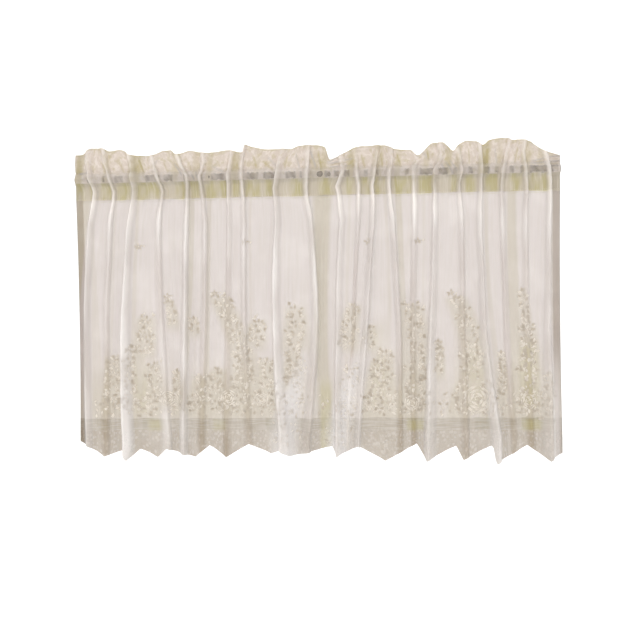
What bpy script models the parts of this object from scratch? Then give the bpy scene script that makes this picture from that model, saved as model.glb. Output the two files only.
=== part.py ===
"""A sheer lace window valance, gathered on a plain rod.

The cloth is one panel. It hangs in front of the rod, rises into a ruffled header, folds over at the top and comes
down behind the rod. One row of stitching just above the rod and one at the foot of the folded cloth make a pocket
of it, and below the rod the two layers fall together. Metres, +Z up. The origin is the middle of the rod's axis, X
runs along the rod and the front faces -Y.
"""

import math
from bisect import bisect_right
from collections import namedtuple

import bpy
from mathutils import Vector

MM = 0.001

# Rod
ROD_RADIUS = 6.5 * MM
ROD_LENGTH = 914 * MM
ROD_SIDES = 24

# Cloth
CLOTH_THICKNESS = 1.1 * MM
LAYER_STEP = 2.6 * MM  # from layer to layer where the cloth is folded double
POCKET_REACH = 7.7 * MM  # from the rod's axis to the middle of the cloth round it
POCKET_HALF = 6.0 * MM  # half of the height over which the pocket lies flat on the rod
SEAM = 12.5 * MM  # from the rod's axis up to the stitching, and down to where the layers come together
BAND_FOOT = -40 * MM  # lower edge of the cloth that is folded over to the back, where it is stitched down
MID = -300 * MM  # heights where the fold table gives its values
FOOT = -490 * MM
PANEL_LEVELS = (-410 * MM, -310 * MM, -210 * MM, -115 * MM)
HEADER_HEIGHT = 50 * MM  # over the rod's axis, where the header's top is even
HEADER_SHARE = 0.55  # height of the header's middle row, as a share of the header
HEADER_OPENING = 1.35  # the gathers open out by this factor towards the header's top
HEADER_DEPTH = 0.75  # and keep this share of their depth
HEADER_BILLOW = 7 * MM  # how far its top swings between two gathers, forward and back by turns
BACK_GATHER = 0.5  # depth of the gathers behind the rod, as a share of those in front
SWAY = 8 * MM  # how far the cloth between two folds swings back at the hem
FULL_SWAY_GAP = 50 * MM  # two folds this far apart let the cloth between them swing out in full
GAP_STEP = 30 * MM  # one column of the cloth for each such width between two folds
SHARPEST_MITRE = 0.6  # cosine of half the turn at which a moved corner stops growing longer

# Side edges: where they are at the rod, at MID and at FOOT, in millimetres
LEFT_EDGE = (-456, -453, -455)
RIGHT_EDGE = (456, 454, 456)

# Every gather on the rod and the fold that runs down from it, left to right, in millimetres: its place along X at
# the rod, at MID and at FOOT, its depth there and half of its width there.
Fold = namedtuple("Fold", "rod mid foot depth_rod depth_mid depth_foot half_rod half_mid half_foot")
FOLDS = tuple(
    Fold(*row)
    for row in (
        (-423, -438, -437, 10, 11, 10, 8, 9, 9),
        (-388, -401, -405, 9, 7, 8, 7, 11, 14),
        (-344, -362, -360, 12, 18, 24, 8, 12, 13),
        (-296, -294, -286, 9, 7, 10, 7, 12, 14),
        (-239, -249, -253, 11, 16, 19, 7, 9, 10),
        (-206, -211, -218, 10, 7, 6, 7, 10, 12),
        (-158, -164, -169, 9, 5, 6, 7, 10, 12),
        (-131, -133, -128, 11, 7, 5, 7, 9, 12),
        (-63, -71, -60, 12, 15, 20, 8, 11, 14),
        (-11, -1, -19, 11, 16, 20, 8, 10, 14),
        (57, 46, 43, 10, 11, 17, 8, 9, 8),
        (88, 72, 60, 9, 3, 2, 7, 5, 4),
        (115, 94, 78, 10, 14, 16, 7, 8, 8),
        (144, 157, 158, 11, 9, 5, 7, 8, 9),
        (193, 185, 185, 7, 6, 5, 8, 9, 9),
        (231, 220, 214, 9, 15, 22, 8, 10, 14),
        (277, 275, 278, 10, 6, 8, 7, 10, 12),
        (310, 315, 335, 10, 15, 24, 7, 9, 13),
        (352, 357, 369, 9, 5, 5, 7, 9, 10),
        (392, 393, 399, 9, 5, 5, 7, 10, 11),
        (436, 430, 430, 9, 11, 18, 8, 10, 15),
    )
)
# One fold's section from side to side: place as a share of its half width, and rise as a share of its depth
FOLD_SECTION = ((-1, 0), (-0.5, 0.8), (0, 1), (0.5, 0.8), (1, 0))

# Outlines from left to right, in millimetres: place along X and height over the rod's axis
HEADER_TOP = (
    (-456, 48), (-442, 49), (-435, 54), (-423, 60), (-404, 60), (-390, 54), (-373, 57), (-361, 54),
    (-350, 46), (-312, 43), (-296, 48), (-285, 53), (-271, 53), (-260, 45), (-232, 50), (-204, 46),
    (-163, 50), (-132, 45), (-127, 59), (-117, 56), (-79, 50), (-41, 49), (-20, 55), (9, 55), (23, 52),
    (33, 28), (47, 32), (73, 45), (95, 51), (135, 51), (153, 44), (183, 41), (196, 31), (227, 53),
    (243, 53), (253, 46), (262, 37), (272, 48), (287, 55), (303, 54), (317, 47), (329, 56), (345, 59),
    (361, 58), (370, 54), (382, 55), (403, 51), (416, 41), (428, 33), (441, 29), (456, 24),
)  # fmt: skip
POINTED_HEM = (
    (-455, -501), (-407, -530), (-371, -518), (-361, -537), (-338, -516), (-304, -532), (-285, -515),
    (-231, -531), (-203, -509), (-170, -531), (-127, -506), (-86, -525), (-68, -519), (-50, -530),
    (31, -511), (39, -530), (80, -510), (130, -539), (189, -505), (207, -537), (262, -510), (275, -536),
    (329, -508), (334, -543), (392, -508), (433, -537), (456, -523),
)  # fmt: skip

CLOTH_COLOUR = (0.80, 0.75, 0.69, 1)
ROD_COLOUR = (0.32, 0.29, 0.25, 1)


def mix(a, b, share):
    return a + (b - a) * share


def at_height(values, z):
    """A table's value at a height, on a smooth curve through its values at the rod, at MID and at FOOT."""
    at_rod, at_mid, at_foot = values
    down = min(max((BAND_FOOT - z) / (BAND_FOOT - FOOT), 0), 1)
    mid = (BAND_FOOT - MID) / (BAND_FOOT - FOOT)
    from_rod = at_rod * (down - mid) * (down - 1) / mid
    from_mid = at_mid * down * (1 - down) / (mid * (1 - mid))
    from_foot = at_foot * down * (down - mid) / (1 - mid)
    return (from_rod + from_mid + from_foot) * MM


def outline_height(outline, x):
    """The height of an outline at x."""
    places = [place * MM for place, _ in outline]
    k = min(max(bisect_right(places, x), 1), len(outline) - 1)
    (_, low), (_, high) = outline[k - 1], outline[k]
    share = (x - places[k - 1]) / (places[k] - places[k - 1])
    return mix(low, high, min(max(share, 0), 1)) * MM


def up_header(z):
    """How far up the header a height is: 0 at the upper stitching and below, 1 at the top."""
    return min(max((z - SEAM) / (HEADER_HEIGHT - SEAM), 0), 1)


def fold_at(fold, z):
    """A fold's place, depth and half width at a height."""
    place = at_height((fold.rod, fold.mid, fold.foot), z)
    depth = at_height((fold.depth_rod, fold.depth_mid, fold.depth_foot), z)
    half = at_height((fold.half_rod, fold.half_mid, fold.half_foot), z)
    half *= mix(1, HEADER_OPENING, up_header(z))
    depth *= mix(1, HEADER_DEPTH, up_header(z))
    return place, depth, half


def gap_between(left, right, columns, sway):
    """Points of the cloth between two folds, where it swings back by sway, and less where they are close."""
    sway *= min(1, (right - left) / FULL_SWAY_GAP)
    shares = [(k + 1) / (columns + 1) for k in range(columns)]
    return [(mix(left, right, share), sway * math.sin(math.pi * share)) for share in shares]


def section(z):
    """The cloth's section at a height: x and y from its left edge to its right edge, the same columns each time."""
    points = [(at_height(LEFT_EDGE, z), 0)]
    before = LEFT_EDGE[0]
    sway = SWAY * min(max(z / FOOT, 0), 1)
    billow = HEADER_BILLOW * up_header(z)
    for fold in FOLDS:
        place, depth, half = fold_at(fold, z)
        columns = max(1, round((fold.rod - before) * MM / GAP_STEP) - 1)
        points += gap_between(points[-1][0], place - half, columns, sway + billow)
        points += [(place + share * half, -depth * rise) for share, rise in FOLD_SECTION]
        before = fold.rod
        billow = -billow
    right = at_height(RIGHT_EDGE, z)
    points += gap_between(points[-1][0], right, 1, sway)
    return points + [(right, 0)]


def offset(points, distance):
    """A section moved sideways by a distance, forward where it is negative."""
    moved = []
    for k, point in enumerate(points):
        here = Vector(point)
        before = Vector(points[max(k - 1, 0)])
        after = Vector(points[min(k + 1, len(points) - 1)])
        sides = [(b - a).normalized() for a, b in ((before, here), (here, after)) if b != a]
        along = sum(sides, Vector((0, 0))).normalized()
        stretch = 1 / max(along.dot(sides[0]), SHARPEST_MITRE)
        moved.append(here + Vector((-along.y, along.x)) * distance * stretch)
    return [tuple(point) for point in moved]


def panel_row(z, side):
    """One row of the cloth at an even height, on the front layer (side -1) or on the back one (side 1)."""
    return [(x, y, z) for x, y in offset(section(z), side * LAYER_STEP / 2)]


def pocket_row(z, side):
    """One row where the cloth passes in front of the rod or behind it."""
    gather = 1 if side < 0 else -BACK_GATHER
    return [(x, side * POCKET_REACH + gather * y, z) for x, y in section(z)]


def header_row(share, side):
    """One row of the header, at a share of its height over the upper stitching."""
    middle = section(mix(SEAM, HEADER_HEIGHT, share))
    row = []
    for (place, _), (x, y) in zip(middle, offset(middle, side * LAYER_STEP / 2)):
        top = outline_height(HEADER_TOP, place) - CLOTH_THICKNESS / 2
        row.append((x, y, mix(SEAM, top, share)))
    return row


def hem_row():
    """The pointed lower edge. The nearest column goes to each point and notch of its outline."""
    row = [list(point) for point in offset(section(FOOT), -LAYER_STEP / 2)]
    for place, _ in POINTED_HEM:
        nearest = min(row, key=lambda point: abs(point[0] - place * MM))
        nearest[0] = place * MM
    return [(x, y, outline_height(POINTED_HEM, x)) for x, y in row]


def cloth_rows():
    """All rows of the cloth, from the hem up the front, over the top and down to the band's edge at the back."""
    front, back = -1, 1
    rows = [hem_row()]
    rows += [panel_row(z, front) for z in (FOOT, *PANEL_LEVELS, BAND_FOOT, -SEAM)]
    rows += [pocket_row(z, front) for z in (-POCKET_HALF, POCKET_HALF)]
    rows += [panel_row(SEAM, front)]
    rows += [header_row(share, front) for share in (HEADER_SHARE, 1)]
    rows += [header_row(share, back) for share in (1, HEADER_SHARE)]
    rows += [panel_row(SEAM, back)]
    rows += [pocket_row(z, back) for z in (POCKET_HALF, -POCKET_HALF)]
    rows += [panel_row(z, back) for z in (-SEAM, BAND_FOOT)]
    return rows


def finish(name, colour, roughness, metallic=0):
    """A plain material."""
    material = bpy.data.materials.new(name)
    material.use_nodes = True
    shader = material.node_tree.nodes["Principled BSDF"]
    shader.inputs["Base Color"].default_value = colour
    shader.inputs["Roughness"].default_value = roughness
    shader.inputs["Metallic"].default_value = metallic
    return material


def valance_cloth(parts):
    """The gathered panel: an open surface through the rows, given its thickness by Solidify."""
    rows = cloth_rows()
    wide = len(rows[0])
    points = [point for row in rows for point in row]
    faces = []
    for r in range(len(rows) - 1):
        rises = rows[r + 1][0][2] > rows[r][0][2]
        for c in range(wide - 1):
            a, b = r * wide + c, r * wide + c + 1
            d, e = a + wide, b + wide
            # Split the same way on both layers, so that they stay apart where the cloth twists
            faces += [(a, b, e), (a, e, d)] if rises else [(a, b, d), (b, e, d)]
    mesh = bpy.data.meshes.new("valance_cloth")
    mesh.from_pydata(points, [], faces)
    mesh.shade_smooth()
    cloth = bpy.data.objects.new("valance_cloth", mesh)
    parts.objects.link(cloth)
    solidify = cloth.modifiers.new("thickness", "SOLIDIFY")
    solidify.thickness = CLOTH_THICKNESS
    solidify.offset = 0
    solidify.use_even_offset = True
    mesh.materials.append(finish("sheer_cloth", CLOTH_COLOUR, roughness=0.9))


def rod(parts):
    """The plain round rod, its axis along X."""
    bpy.ops.mesh.primitive_cylinder_add(
        vertices=ROD_SIDES, radius=ROD_RADIUS, depth=ROD_LENGTH, rotation=(0, math.pi / 2, 0)
    )
    bar = bpy.context.object
    bar.name = "rod"
    bar.data.name = "rod"
    for collection in list(bar.users_collection):
        collection.objects.unlink(bar)
    parts.objects.link(bar)
    bar.data.shade_smooth()
    bar.data.set_sharp_from_angle(angle=math.radians(30))
    bar.data.materials.append(finish("rod_finish", ROD_COLOUR, roughness=0.45, metallic=0.6))


def main():
    for old in list(bpy.data.objects):
        bpy.data.objects.remove(old, do_unlink=True)
    parts = bpy.data.collections.new("window_valance")
    bpy.context.scene.collection.children.link(parts)
    valance_cloth(parts)
    rod(parts)


main()
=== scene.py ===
"""Looks of a sheer lace window valance, gathered on a plain rod.

The cloth is one thin sheet on the folds of its solid, with its header, pocket and side hems turned over as
they are sewn. The leaves, roses and stitches are small raised meshes on it. Metres, +Z up, front towards -Y.
"""

import math
from collections import namedtuple

import bpy
import numpy as np
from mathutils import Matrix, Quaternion, Vector


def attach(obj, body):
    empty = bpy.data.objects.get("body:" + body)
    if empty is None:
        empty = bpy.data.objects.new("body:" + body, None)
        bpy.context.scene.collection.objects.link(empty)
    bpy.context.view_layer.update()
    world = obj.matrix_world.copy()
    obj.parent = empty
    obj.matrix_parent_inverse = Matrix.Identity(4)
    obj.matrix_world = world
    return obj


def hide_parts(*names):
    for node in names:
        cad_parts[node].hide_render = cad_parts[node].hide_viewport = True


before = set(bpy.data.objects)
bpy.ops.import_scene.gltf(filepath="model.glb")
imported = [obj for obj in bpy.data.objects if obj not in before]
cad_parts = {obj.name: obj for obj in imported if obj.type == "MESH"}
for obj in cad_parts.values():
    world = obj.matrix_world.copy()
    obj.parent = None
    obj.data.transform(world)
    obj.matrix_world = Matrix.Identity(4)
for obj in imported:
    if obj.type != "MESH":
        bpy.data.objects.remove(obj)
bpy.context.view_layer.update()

MM = 0.001

# The cloth's driving sizes, the same as its solid's
POCKET_REACH = 7.7 * MM  # from the rod's axis to the cloth round it
SEAM = 12.5 * MM  # upper stitching, over the rod's axis
BAND_TOP = -7.5 * MM  # where the pocket ends and the doubled band starts
BAND_FOOT = -40 * MM  # lower edge of the cloth that is folded over to the back
MID = -300 * MM
FOOT = -490 * MM
HEADER_HEIGHT = 50 * MM
HEADER_OPENING = 1.35
HEADER_DEPTH = 0.75
HEADER_BILLOW = 7 * MM
LAYER_STEP = 2.6 * MM
BACK_GATHER = 0.5
SWAY = 8 * MM
FULL_SWAY_GAP = 50 * MM

# Sizes of the sheet alone
FLAT_WIDTH = 1.50  # cut size: 13 and a half points of the hem, 111 mm each
HEADER_PUFF = 4.2 * MM  # how far each layer of the header bulges between two gathers
TURN_RADIUS = 1.6 * MM  # of the turned edge at the header's top
SIDE_HEM = 13 * MM
COLUMN_STEP = 2.3 * MM
FOLD_COLUMNS = 15
ROD_WANDER = 1.0 * MM  # how far the gathers wander sideways near the rod
LOW_WANDER = 0.6 * MM  # and the folds below
RIPPLE = 0.55 * MM  # the most that a fine ripple stands out

SIDE_HEM_COLUMNS = 5
SIDE_HEM_START = 0.4 * MM  # inside the cloth's edge
SIDE_HEM_BEHIND = 1.2 * MM
FINE_RIPPLES = 90
LACE_GROUND = 0.75  # how beige the lace makes its ground
LOW_WASH = 0.5  # how beige the cloth gets towards its hem

# The cloth's side edges, in millimetres at the rod, at MID and at FOOT
LEFT_EDGE = (-456, -453, -455)
RIGHT_EDGE = (456, 454, 456)


def rows_of(kind, *rows):
    return tuple(kind(*row) for row in rows)


# Every gather and the fold that runs down from it: its place, depth and half width at the rod, at MID and at
# FOOT in millimetres, as in the solid, then how far its crest leans to the right and how white it is at MID
# and at FOOT, a white that is partly denser doubled cloth and partly a painted highlight
Fold = namedtuple(
    "Fold",
    "rod mid foot depth_rod depth_mid depth_foot half_rod half_mid half_foot lean white_mid white_foot",
)
FOLDS = rows_of(
    Fold,
    (-423, -438, -437, 10, 11, 10, 8, 9, 9, -0.5, 0.6, 0.5),
    (-388, -401, -405, 9, 7, 8, 7, 11, 14, 0.4, 0.25, 0.0),
    (-344, -362, -360, 12, 18, 24, 8, 12, 13, -0.6, 0.9, 1.25),
    (-296, -294, -286, 9, 7, 10, 7, 12, 14, 0.7, 0.3, 0.7),
    (-239, -249, -253, 11, 16, 19, 7, 9, 10, 0.5, 1.0, 1.0),
    (-206, -211, -218, 10, 7, 6, 7, 10, 12, 0.3, 0.3, 0.0),
    (-158, -164, -169, 9, 5, 6, 7, 10, 12, -0.4, 0.1, 0.0),
    (-131, -133, -128, 11, 7, 5, 7, 9, 12, 0.5, 0.7, 0.1),
    (-63, -71, -60, 12, 15, 20, 8, 11, 14, -0.6, 1.1, 0.8),
    (-11, -1, -19, 11, 16, 20, 8, 10, 14, 0.8, 1.0, 0.4),
    (57, 46, 43, 10, 11, 17, 8, 9, 8, -0.6, 0.5, 0.75),
    (88, 72, 60, 9, 3, 2, 7, 5, 4, 0.2, 0.0, 0.0),
    (115, 94, 78, 10, 14, 16, 7, 8, 8, 0.7, 0.7, 0.75),
    (144, 157, 158, 11, 9, 5, 7, 8, 9, 0.6, 0.5, 0.0),
    (193, 185, 185, 7, 6, 5, 8, 9, 9, -0.4, 0.1, 0.0),
    (231, 220, 214, 9, 15, 22, 8, 10, 14, -0.5, 0.75, 0.85),
    (277, 275, 278, 10, 6, 8, 7, 10, 12, 0.5, 0.1, 0.1),
    (310, 315, 335, 10, 15, 24, 7, 9, 13, 0.7, 0.5, 0.85),
    (352, 357, 369, 9, 5, 5, 7, 9, 10, -0.4, 0.1, 0.0),
    (392, 393, 399, 9, 5, 5, 7, 10, 11, 0.4, 0.2, 0.0),
    (436, 430, 430, 9, 11, 18, 8, 10, 15, 0.6, 0.4, 0.45),
)

# How far each gather leaves the place that FOLDS gives it near the rod, in millimetres along X: at the
# header's top, halfway up the header, at the rod and halfway down the band
GATHER_SHIFTS = (
    (-5, -7, -1, 8), (-15, -9, -2, 7), (-4, -1, 1, 4), (-14, -10, -2, 8), (-20, -15, -1, -1),
    (-1, 1, -9, -6), (7, 5, 0, -1), (1, -3, -4, -3), (11, 5, 0, -6), (3, 1, 0, -3), (-2, 0, 1, -10),
    (-10, -7, -5, -2), (5, 4, -1, -5), (2, 4, -2, -3), (-3, 3, -5, -3), (8, 9, -4, -4), (-12, -6, -1, -6),
    (-3, -1, 0, 0), (15, 8, 1, -2), (-1, -3, -1, 2), (-8, -6, -2, 0),
)
SHIFT_HEIGHTS = (50 * MM, 30 * MM, 2 * MM, -24 * MM, -85 * MM)

# Outlines from left to right, in millimetres: place along X and height over the rod's axis
HEADER_TOP = (
    (-456, 48), (-442, 49), (-435, 54), (-423, 60), (-404, 60), (-390, 54), (-373, 57), (-361, 54),
    (-350, 46), (-312, 43), (-296, 48), (-285, 53), (-271, 53), (-260, 45), (-232, 50), (-204, 46),
    (-163, 50), (-132, 45), (-127, 59), (-117, 56), (-79, 50), (-41, 49), (-20, 55), (9, 55), (23, 52),
    (33, 28), (47, 32), (73, 45), (95, 51), (135, 51), (153, 44), (183, 41), (196, 31), (227, 53),
    (243, 53), (253, 46), (262, 37), (272, 48), (287, 55), (303, 54), (317, 47), (329, 56), (345, 59),
    (361, 58), (370, 54), (382, 55), (403, 51), (416, 41), (428, 33), (441, 29), (456, 24),
)
POINTED_HEM = (
    (-455, -501), (-407, -530), (-371, -518), (-361, -537), (-338, -516), (-304, -532), (-285, -515),
    (-231, -531), (-203, -509), (-170, -531), (-127, -506), (-86, -525), (-68, -519), (-50, -530),
    (31, -511), (39, -530), (80, -510), (130, -539), (189, -505), (207, -537), (262, -510), (275, -536),
    (329, -508), (334, -543), (392, -508), (433, -537), (456, -523),
)

# Soft creases that run down the cloth: place at the rod, at MID and at FOOT, the heights where a crease
# starts and ends, its half width and how far it stands forward, in millimetres. A trough has a height below 0.
Crease = namedtuple("Crease", "rod mid foot top bottom half height")
CREASES = rows_of(
    Crease,
    (-405, -419, -426, -20, -330, 4, 1.6), (-370, -384, -390, -45, -470, 5, 1.4),
    (-318, -329, -336, 0, -210, 5, -1.5), (-272, -272, -276, -10, -500, 6, 2.2),
    (-224, -233, -238, -10, -420, 4, -2.0), (-196, -203, -208, 5, -300, 3, -1.8),
    (-182, -184, -190, -30, -240, 5, 1.2), (-150, -150, -146, 0, -190, 4, 1.2),
    (-115, -116, -116, -20, -150, 3, 1.4), (-96, -96, -94, -40, -360, 6, 1.0),
    (-40, -40, -40, -10, -300, 4, -1.6), (14, 6, 16, 10, -535, 6, -3.0), (32, 20, 26, 0, -535, 5, -2.6),
    (23, 13, 21, -60, -535, 3, 1.6), (72, 64, 56, -50, -260, 5, 1.4), (100, 82, 70, -120, -360, 5, 2.4),
    (128, 126, 118, 0, -330, 4, 1.3), (158, 168, 170, -20, -420, 5, -2.2),
    (172, 174, 174, -40, -190, 4, 1.2), (212, 202, 194, 0, -280, 5, 1.2),
    (250, 243, 244, -30, -430, 6, 1.1), (262, 258, 256, -10, -180, 3, 1.3),
    (294, 293, 294, -20, -230, 4, -1.4), (330, 334, 344, -20, -240, 4, 1.4),
    (366, 370, 382, -30, -500, 7, -2.0), (378, 380, 390, 0, -200, 3, 1.2),
    (410, 410, 414, -30, -330, 4, 1.3), (424, 416, 414, -10, -260, 3, -1.4),
)

# Short wrinkles of the header and the pocket: both ends, half width and height in millimetres
Wrinkle = namedtuple("Wrinkle", "start_x start_z end_x end_z half height")
WRINKLES = rows_of(
    Wrinkle,
    (-448, 11, -424, 15, 2.2, 2.2), (-404, 44, -391, 12, 2.0, 1.8), (-391, 12, -398, 3, 1.8, 1.8),
    (-372, 40, -362, 14, 2.4, -1.6), (-331, 36, -322, 10, 2.2, -2.0), (-296, 34, -306, 12, 2.0, 1.8),
    (-284, 30, -276, 10, 2.0, -1.6), (-262, 26, -248, 4, 2.0, 1.8), (-236, 30, -228, 6, 1.8, -1.8),
    (-232, 14, -224, -6, 1.8, 1.8), (-222, 10, -212, -14, 1.8, 1.8), (-190, 20, -168, 8, 2.2, 1.6),
    (-186, 34, -176, 24, 2.4, -1.4), (-112, 38, -106, 16, 2.2, -1.6), (-93, 27, -74, 10, 2.2, -2.2),
    (-84, 34, -66, 16, 2.2, 1.6), (-46, 36, -52, 12, 2.2, -1.6), (-30, 38, -24, 12, 2.4, 1.5),
    (-3, 44, 7, 13, 2.0, 2.2), (12, 40, 17, 6, 2.4, -2.0), (30, 22, 58, 35, 1.8, 1.8),
    (30, 18, 76, 28, 1.8, 1.8), (33, 13, 74, 14, 1.8, 1.6), (32, 16, 66, 21, 1.6, -1.6),
    (92, 34, 98, 12, 2.4, -2.0), (128, 36, 132, 12, 2.2, -1.6), (158, 34, 166, 10, 2.2, -1.6),
    (206, 38, 222, 10, 2.0, 1.6), (214, 40, 218, 16, 2.0, -1.8), (240, 14, 250, -8, 1.8, 1.8),
    (248, 18, 262, -6, 1.8, 1.8), (256, 20, 270, -2, 1.8, 1.6), (290, 40, 292, 12, 2.2, -1.6),
    (324, 38, 322, 10, 2.4, -2.0), (338, 40, 342, 12, 2.0, 1.5), (380, 40, 374, 12, 2.2, -1.6),
    (404, 14, 456, 24, 1.8, 1.8), (404, 10, 456, 14, 1.8, 1.8), (404, 5, 456, 4, 1.8, 1.4),
    (406, 7, 456, 9, 1.6, -1.6),
)

# Strips painted beige: painted shade beside the folds, on their side away from the light, and at the side
# hems also cloth that hangs double; place and half width at the rod, at MID and at FOOT in millimetres, and
# strength
Strip = namedtuple("Strip", "rod mid foot half_rod half_mid half_foot strength")
BEIGE_AND_SHADE_STRIPS = rows_of(
    Strip,
    (-441, -460, -460, 14, 4, 2, 0.9), (-424, -421, -413, 1, 8, 16, 0.35),
    (-378, -392, -398, 3, 5, 9, 0.2), (-334, -347, -346, 3, 4, 6, 0.5), (-231, -242, -261, 5, 4, 4, 0.7),
    (-197, -204, -211, 4, 4, 9, 0.55), (-118, -120, -114, 3, 3, 10, 0.35), (18, 14, 18, 17, 11, 12, 1.0),
    (70, 60, 60, 3, 3, 2, 0.3), (135, 139, 124, 3, 5, 12, 0.35), (160, 168, 172, 6, 6, 10, 0.75),
    (207, 201, 190, 3, 3, 8, 0.3), (322, 332, 360, 4, 5, 10, 0.45), (368, 373, 386, 8, 11, 15, 0.8),
    (449, 447, 456, 11, 8, 3, 0.3),
)

# Patches where the low cloth and the woven band look yellow: place, half width, top and bottom in
# millimetres, and strength
YELLOW_PATCHES = (
    (20, 11, -370, -535, 0.8), (396, 16, -300, -440, 0.5), (-307, 15, -455, -482, 0.7),
    (401, 17, -455, -482, 0.8), (187, 15, -455, -482, 0.8), (-184, 12, -455, -482, 0.45),
    (-336, 10, -320, -450, 0.3), (120, 12, -260, -440, 0.25), (300, 18, -300, -440, 0.25),
)

# Olive stretches of the band, in millimetres along X
BAND_OLIVE = (
    (-456, -440), (-428, -421), (-406, -384), (-375, -350), (-337, -290), (-259, -240), (-234, -215),
    (-203, -162), (-151, -137), (-127, -99), (-90, -76), (-43, -17), (11, 39), (64, 77), (89, 108),
    (113, 136), (152, 186), (199, 224), (257, 270), (284, 301), (320, 343), (365, 387), (397, 437),
)

# Whitish strips low on the cloth, between two folds or at its ends, the one at the right end painted light
# where the cloth turns away: place and half width at MID and at FOOT, in millimetres
PALE_STRIPS = ((-18, 7, -58, 24), (86, 7, 43, 22), (-442, 5, -443, 4), (446, 8, 446, 10))

# Strips of painted olive shade beside the header's gathers: place and half width in millimetres, and strength
OLIVE_SHADE_STRIPS = (
    (-449, 7, 0.9), (-396, 6, 0.5), (-339, 12, 0.8), (-262, 7, 0.5), (-222, 6, 0.4), (-196, 5, 0.6),
    (-147, 7, 0.7), (-105, 5, 0.3), (4, 7, 0.4), (20, 6, 0.6), (72, 7, 0.8), (122, 9, 0.5), (160, 5, 0.5),
    (212, 5, 0.4), (252, 6, 0.7), (270, 5, 0.4), (318, 9, 1.0), (345, 5, 0.4), (394, 8, 0.6),
    (420, 6, 0.4),
)

# Stretches of the pocket that are thin enough to show the rod, in millimetres along X
ROD_SHOWS = (
    (-432, -428), (-402, -398), (-379, -362), (-319, -291), (-283, -266), (-244, -240), (-215, -208),
    (-192, -166), (-125, -102), (-92, -66), (-50, -31), (-23, -19), (23, 34), (41, 50), (60, 70),
    (97, 104), (118, 124), (173, 180), (200, 226), (235, 252), (262, 268), (289, 298), (320, 328),
    (338, 345), (364, 372), (384, 391), (400, 452),
)

# Darker stretches of the woven band, in millimetres along X
WOVEN_DARK = (
    (-333, -286), (-196, -172), (-96, -70), (10, 34), (172, 202), (297, 324), (383, 419),
)
WOVEN_TOP = -457.5 * MM
WOVEN_FOOT = -480 * MM

# Sprays of leaves: where the stem starts and ends, how far it bows to the right and how far its leaves reach
# out, in millimetres
Spray = namedtuple("Spray", "foot_x foot_z tip_x tip_z bow reach")
SPRAYS = rows_of(
    Spray,
    (-394, -444, -387, -339, 3, 17), (-350, -444, -352, -318, -4, 12), (-334, -338, -322, -264, 2, 22),
    (-318, -445, -308, -352, 4, 22), (-270, -280, -278, -232, 2, 10), (-228, -294, -231, -266, 0, 9),
    (-263, -445, -264, -367, 0, 9), (-228, -446, -217, -378, 3, 20), (-190, -446, -185, -364, -3, 20),
    (-142, -447, -183, -226, 26, 23), (-118, -321, -106, -273, 0, 19), (-98, -447, -91, -346, 3, 22),
    (-40, -328, -37, -248, 4, 22), (-47, -400, -40, -328, 2, 18), (64, -327, 76, -246, -4, 17),
    (100, -324, 104, -286, 2, 13), (104, -450, 117, -352, 3, 16), (134, -450, 134, -333, -3, 18),
    (184, -451, 184, -247, 8, 25), (231, -376, 231, -314, 2, 9), (295, -388, 263, -234, 12, 23),
    (268, -452, 275, -388, 0, 15), (324, -453, 319, -389, 0, 12), (347, -418, 346, -336, 2, 7),
    (394, -454, 392, -288, 4, 21), (392, -296, 384, -221, 2, 9), (431, -467, 430, -376, 2, 11),
)
BRANCH_STEP = 9 * MM  # from one side branch of a spray to the next
LEAF_SHARE = 0.8  # of the leaves are there, the others left out here and there
LEAF_STEP = 7.5 * MM  # from one pair of leaves to the next on a side branch
LEAF_LENGTH = 8.5 * MM
LOOSE_LEAVES = 280  # strewn between the feet of the sprays
STRIP_LEAVES = 70  # on each of the first two pale strips
MOTIF_LIFT = 0.3 * MM  # of the motifs' rims in front of the cloth
DOME_RISE = 0.25 * MM  # and of their middles in front of their rims
# Roses: centre and radius in millimetres
ROSES = (
    (-165, -418, 15), (-103, -422, 13), (-282, -419, 14), (301, -423, 25), (181, -429, 14),
    (395, -428, 14),
)
# Small sprigs high on the cloth: centre in millimetres
SPRIGS = (
    (-335, -129), (-129, -124), (102, -127), (195, -128), (-282, -225), (-189, -221), (255, -226),
)


def mix(a, b, share):
    return a + (b - a) * share


def ease(start, end, value):
    """0 at start, 1 at end and an even S between them."""
    share = np.clip((value - start) / (end - start), 0, 1)
    return share * share * (3 - 2 * share)


def bell(away):
    """1 in the middle of a crease and near 0 at twice its half width."""
    return np.exp(-(away**2))


def table_at(rod, mid, foot, z):
    """Values from a table at a height, on a smooth curve through those at the rod, at MID and at FOOT."""
    down = np.clip((BAND_FOOT - z) / (BAND_FOOT - FOOT), 0, 1)
    middle = (BAND_FOOT - MID) / (BAND_FOOT - FOOT)
    from_rod = rod * (down - middle) * (down - 1) / middle
    from_mid = mid * down * (1 - down) / (middle * (1 - middle))
    from_foot = foot * down * (down - middle) / (1 - middle)
    return (from_rod + from_mid + from_foot) * MM


def fold_column(name):
    return np.array([getattr(fold, name) for fold in FOLDS], float)


def fold_table(kind, z):
    """The folds' places, or with a kind in front their depths or half widths, at a height."""
    return table_at(*(fold_column(kind + where) for where in ("rod", "mid", "foot")), z)


def soft_noise(x, z, across, along, seed):
    """An uneven field, mostly between -1 and 1, with soft patches of about these sizes."""
    draw = np.random.default_rng(seed)
    total = 0
    for _ in range(10):
        turn = draw.normal(0, 1.6, 2)
        total = total + np.sin(x * turn[0] / across + z * turn[1] / along + draw.uniform(0, math.tau))
    return total / 2.6


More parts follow.
